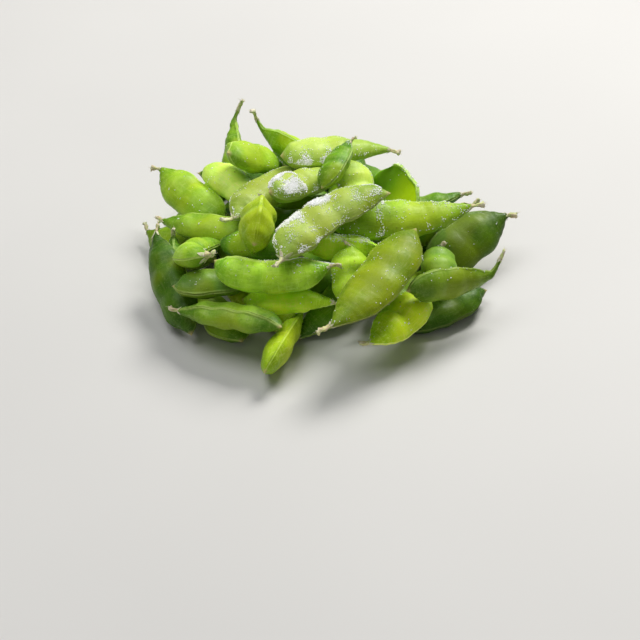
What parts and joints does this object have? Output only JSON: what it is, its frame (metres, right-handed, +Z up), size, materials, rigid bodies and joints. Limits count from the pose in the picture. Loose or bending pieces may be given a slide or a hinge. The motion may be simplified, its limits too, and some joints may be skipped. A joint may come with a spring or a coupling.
{
  "type": "bundle of edamame pods",
  "caption": "Loose bundle of boiled, salted edamame pods heaped as finger food, each pod with its stalk, calyx and beak.",
  "frame": {"origin": "on the surface the pods lie on, under the middle of the heap's box", "axes": "+Z up; +Y from the heap's front to its back; +X to the right as seen from the front, along its longest extent"},
  "size_m": [0.1426, 0.142, 0.0441],
  "materials": {
    "pod_fresh": "satin moist pod skin, bright mid green, faintly fuzzy",
    "pod_pale": "satin moist pod skin, pale yellow-green",
    "pod_olive": "satin moist pod skin, olive yellow-green with pale seams",
    "pod_deep": "satin moist pod skin, deep green",
    "stub": "dry papery calyx and stalk, tan to whitish",
    "salt": "white crystals of coarse salt",
    "fuzz": "short pale plant hairs"
  },
  "bodies": {
    "root": {"pod_back_1": "pod_deep", "pod_back_2": "pod_deep", "pod_back_3": "pod_deep", "pod_back_4": "pod_deep", "pod_back_5": "pod_deep", "pod_back_6": "pod_deep", "pod_back_left_wide": "pod_fresh", "pod_back_pale": "pod_pale", "pod_back_right": "pod_deep", "pod_back_stub": "pod_deep", "pod_back_thin": "pod_deep", "pod_back_tip": "pod_pale", "pod_back_upright": "pod_fresh", "pod_blue_bit": "pod_deep", "pod_boat": "pod_deep", "pod_centre_small": "pod_fresh", "pod_centre_stub": "pod_fresh", "pod_curled": "pod_fresh", "pod_floor_1": "pod_deep", "pod_floor_2": "pod_deep", "pod_floor_3": "pod_deep", "pod_floor_4": "pod_deep", "pod_floor_5": "pod_deep", "pod_floor_6": "pod_deep", "pod_floor_7": "pod_deep", "pod_front_big": "pod_olive", "pod_front_dark": "pod_deep", "pod_front_left": "pod_fresh", "pod_front_left_deep": "pod_fresh", "pod_front_mid": "pod_fresh", "pod_front_right_tip": "pod_olive", "pod_front_tip": "pod_olive", "pod_heart_1": "pod_deep", "pod_heart_2": "pod_deep", "pod_left_far_low": "pod_deep", "pod_left_far_top": "pod_fresh", "pod_left_narrow": "pod_deep", "pod_left_rim": "pod_deep", "pod_left_round": "pod_pale", "pod_left_tip": "pod_fresh", "pod_left_up": "pod_fresh", "pod_long_s": "pod_fresh", "pod_mid_dark": "pod_deep", "pod_mid_left": "pod_deep", "pod_pale_long": "pod_pale", "pod_ridge_up": "pod_olive", "pod_right_big": "pod_fresh", "pod_right_blunt": "pod_fresh", "pod_right_hook": "pod_fresh", "pod_right_low": "pod_deep", "pod_right_under": "pod_deep", "pod_right_wide": "pod_deep", "pod_salty_small": "pod_pale", "pod_salty_star": "pod_pale", "pod_shadow_mid": "pod_fresh", "pod_under_long": "pod_olive"}
  },
  "joints": []
}
